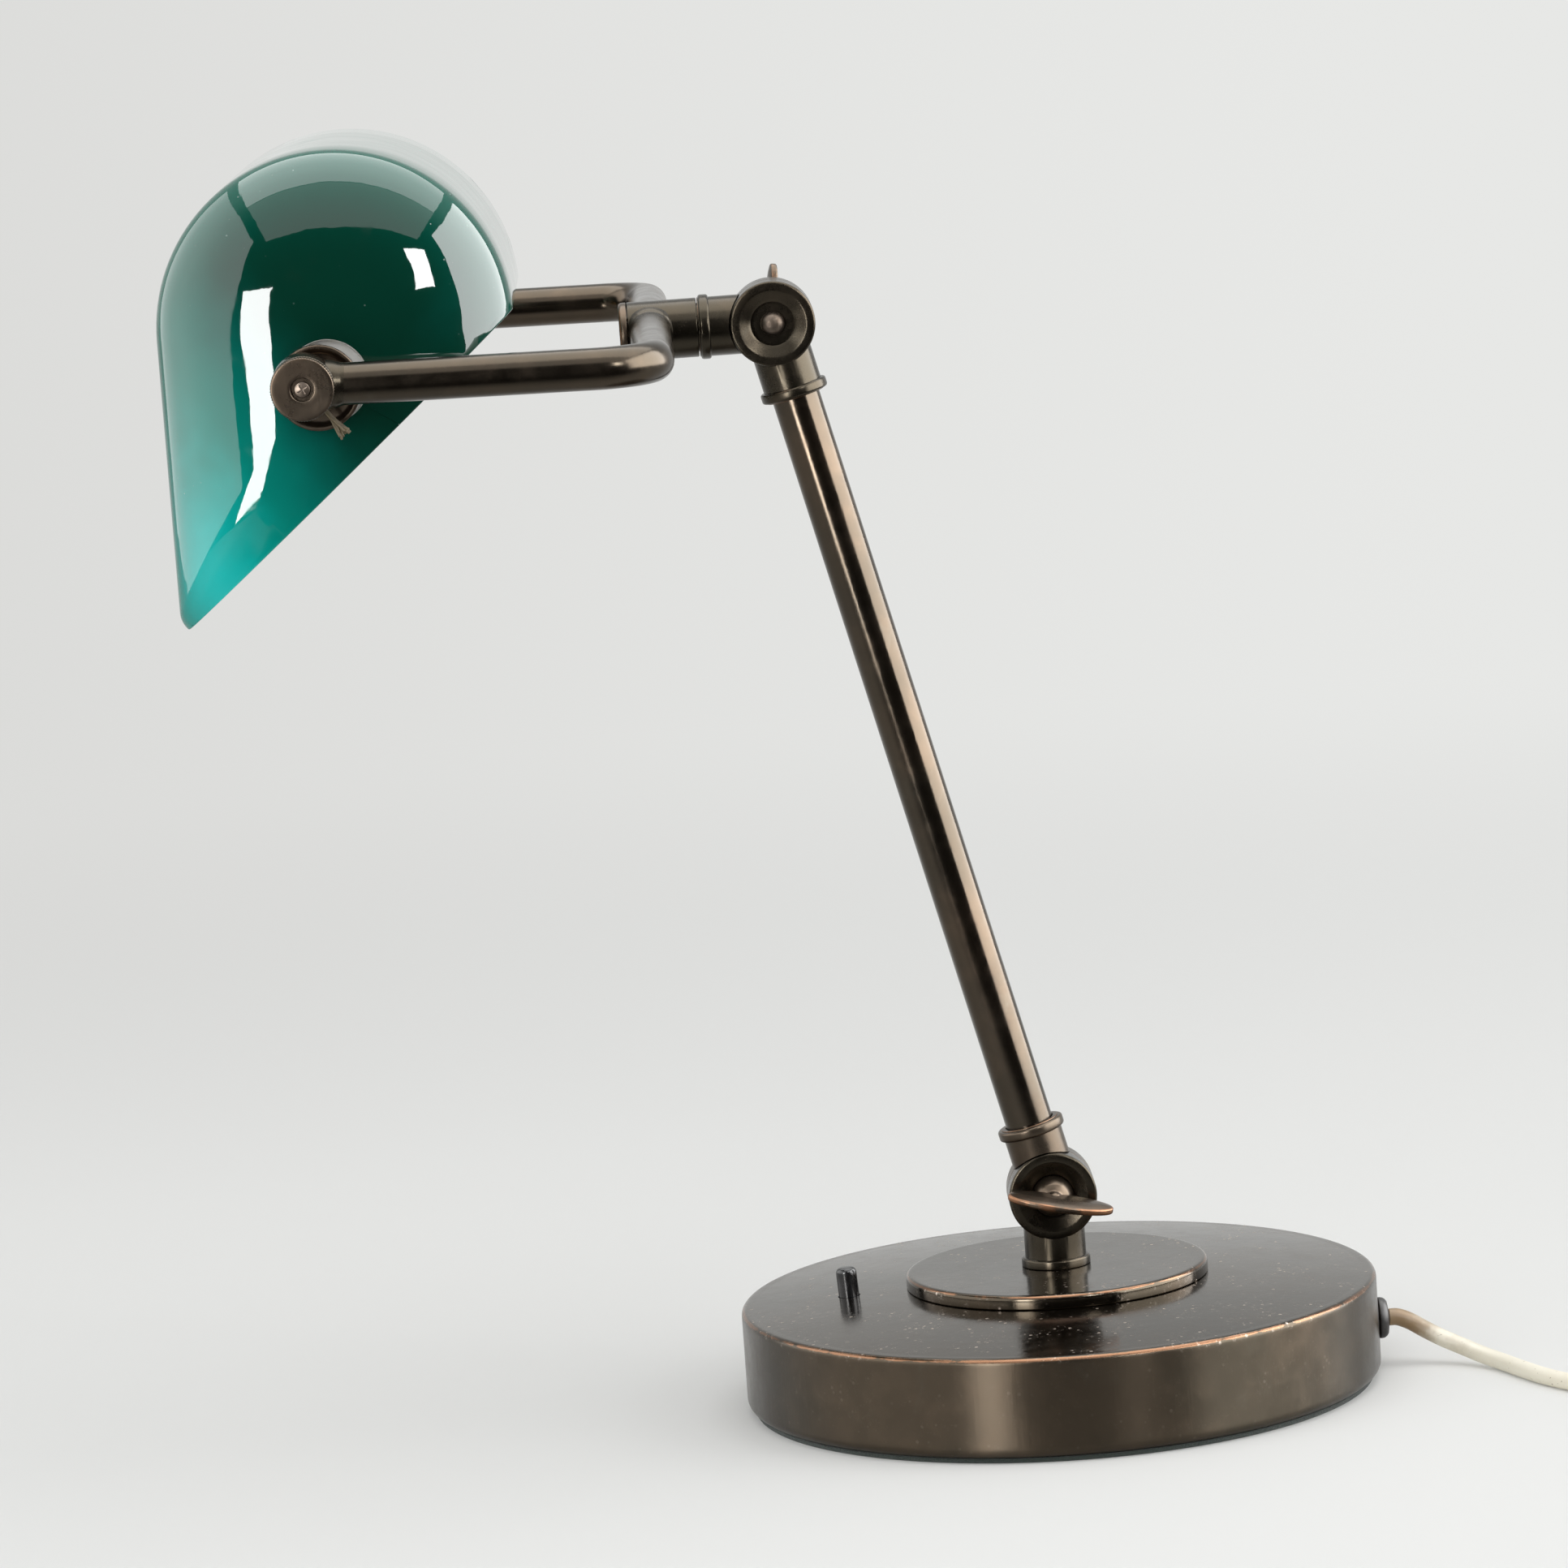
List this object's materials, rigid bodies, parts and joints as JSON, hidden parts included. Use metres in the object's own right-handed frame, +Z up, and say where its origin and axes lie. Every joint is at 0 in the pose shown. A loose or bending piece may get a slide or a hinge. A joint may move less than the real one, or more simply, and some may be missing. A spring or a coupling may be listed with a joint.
{
  "type": "banker desk lamp",
  "caption": "Desk lamp with a round weighted foot, a stem on two friction knuckles, and a fork that holds a green glass shade over a tubular bulb.",
  "frame": {"origin": "middle of the foot's flat underside", "axes": "+Z up, -Y towards the user and the shade, +X along the shade towards the side with the lower wing nut"},
  "size_m": [0.2626, 0.5296, 0.4108],
  "materials": {
    "aged_bronze": "dark brown patina, semi-gloss, worn at the edges",
    "worn_bronze": "brown patina rubbed to copper at the rims",
    "turned_brass": "plain turned brass",
    "grey_iron": "sand cast, unpainted",
    "plated_steel": "dull plating",
    "green_felt": "pressed felt",
    "black_plastic": "moulded, slightly glossy",
    "black_rubber": "soft, matt",
    "emerald_glass": "cased glass, emerald outside and opal white inside, polished",
    "white_fibre": "pressed fibre",
    "white_porcelain": "glazed",
    "opal_glass": "opal bulb glass",
    "ivory_cord": "ivory vinyl, yellowed, slightly glossy",
    "blade_brass": "bright stamped brass"
  },
  "bodies": {
    "base": {"base_cover": "aged_bronze", "base_weight": "grey_iron", "base_felt": "green_felt", "plinth_disc": "worn_bronze", "base_nipple": "turned_brass", "base_washer": "plated_steel", "base_nut": "turned_brass", "base_neck": "aged_bronze", "cord_grommet": "black_rubber", "cord_lead_in": "ivory_cord", "terminal_block": "black_plastic", "terminal_screw_left": "turned_brass", "terminal_screw_right": "turned_brass", "switch_body": "black_plastic", "cord_run": "ivory_cord", "cord_coil": "ivory_cord", "cord_tail": "ivory_cord", "coil_tie": "white_fibre", "plug_body": "ivory_cord", "plug_blade_left": "blade_brass", "plug_blade_right": "blade_brass"},
    "stem": {"lower_clamp_screw": "plated_steel", "stem_foot_socket": "aged_bronze", "stem_tube": "aged_bronze", "stem_wire": "ivory_cord", "stem_head_socket": "aged_bronze", "upper_clamp_screw": "plated_steel"},
    "fork": {"arm_socket": "aged_bronze", "hub": "aged_bronze", "hub_plug": "aged_bronze", "fork_arm_near": "aged_bronze", "fork_arm_far": "aged_bronze", "fork_boss_near": "aged_bronze", "fork_boss_far": "aged_bronze"},
    "shade": {"shade_glass": "emerald_glass", "shade_cup_near": "worn_bronze", "shade_cup_far": "worn_bronze", "inner_washer_near": "white_fibre", "inner_washer_far": "white_fibre", "pivot_nut_near": "turned_brass", "pivot_nut_far": "turned_brass", "pivot_tube_near": "turned_brass", "pivot_tube_far": "turned_brass", "holder_shell": "turned_brass", "holder_insert": "white_porcelain", "bulb_contact": "turned_brass", "bulb_cap": "turned_brass", "bulb_glass": "opal_glass"},
    "lower_wing": {"lower_wing_nut": "worn_bronze"},
    "upper_wing": {"upper_wing_nut": "worn_bronze"},
    "near_disc": {"clamp_disc_near": "worn_bronze", "clamp_disc_screw_near": "plated_steel"},
    "far_disc": {"clamp_disc_far": "worn_bronze", "clamp_disc_screw_far": "plated_steel"},
    "button": {"switch_button": "black_plastic"}
  },
  "joints": [
    {"name": "stem_tilt", "type": "hinge", "parent": "base", "child": "stem", "pos_m": [0, 0, 0.0637], "axis": [1, 0, 0], "range_deg": [-35, 25]},
    {"name": "arm_tilt", "type": "hinge", "parent": "stem", "child": "fork", "pos_m": [0, -0.06839, 0.3432], "axis": [1, 0, 0], "range_deg": [-40, 16]},
    {"name": "shade_tilt", "type": "hinge", "parent": "fork", "child": "shade", "pos_m": [0, -0.20899, 0.3443], "axis": [1, 0, 0], "range_deg": [-60, 60]},
    {"name": "lower_wing_turn", "type": "hinge", "parent": "base", "child": "lower_wing", "pos_m": [0, 0, 0.0637], "axis": [1, 0, 0], "continuous": true},
    {"name": "upper_wing_turn", "type": "hinge", "parent": "fork", "child": "upper_wing", "pos_m": [0, -0.06839, 0.3432], "axis": [-1, 0, 0], "continuous": true},
    {"name": "near_disc_turn", "type": "hinge", "parent": "shade", "child": "near_disc", "pos_m": [0, -0.20899, 0.3443], "axis": [1, 0, 0], "continuous": true},
    {"name": "far_disc_turn", "type": "hinge", "parent": "shade", "child": "far_disc", "pos_m": [0, -0.20899, 0.3443], "axis": [-1, 0, 0], "continuous": true},
    {"name": "switch_press", "type": "slide", "parent": "base", "child": "button", "axis": [0, 0.0598, -0.9982], "range_m": [0, 0.0025], "stiffness_N_per_m": 600}
  ]
}
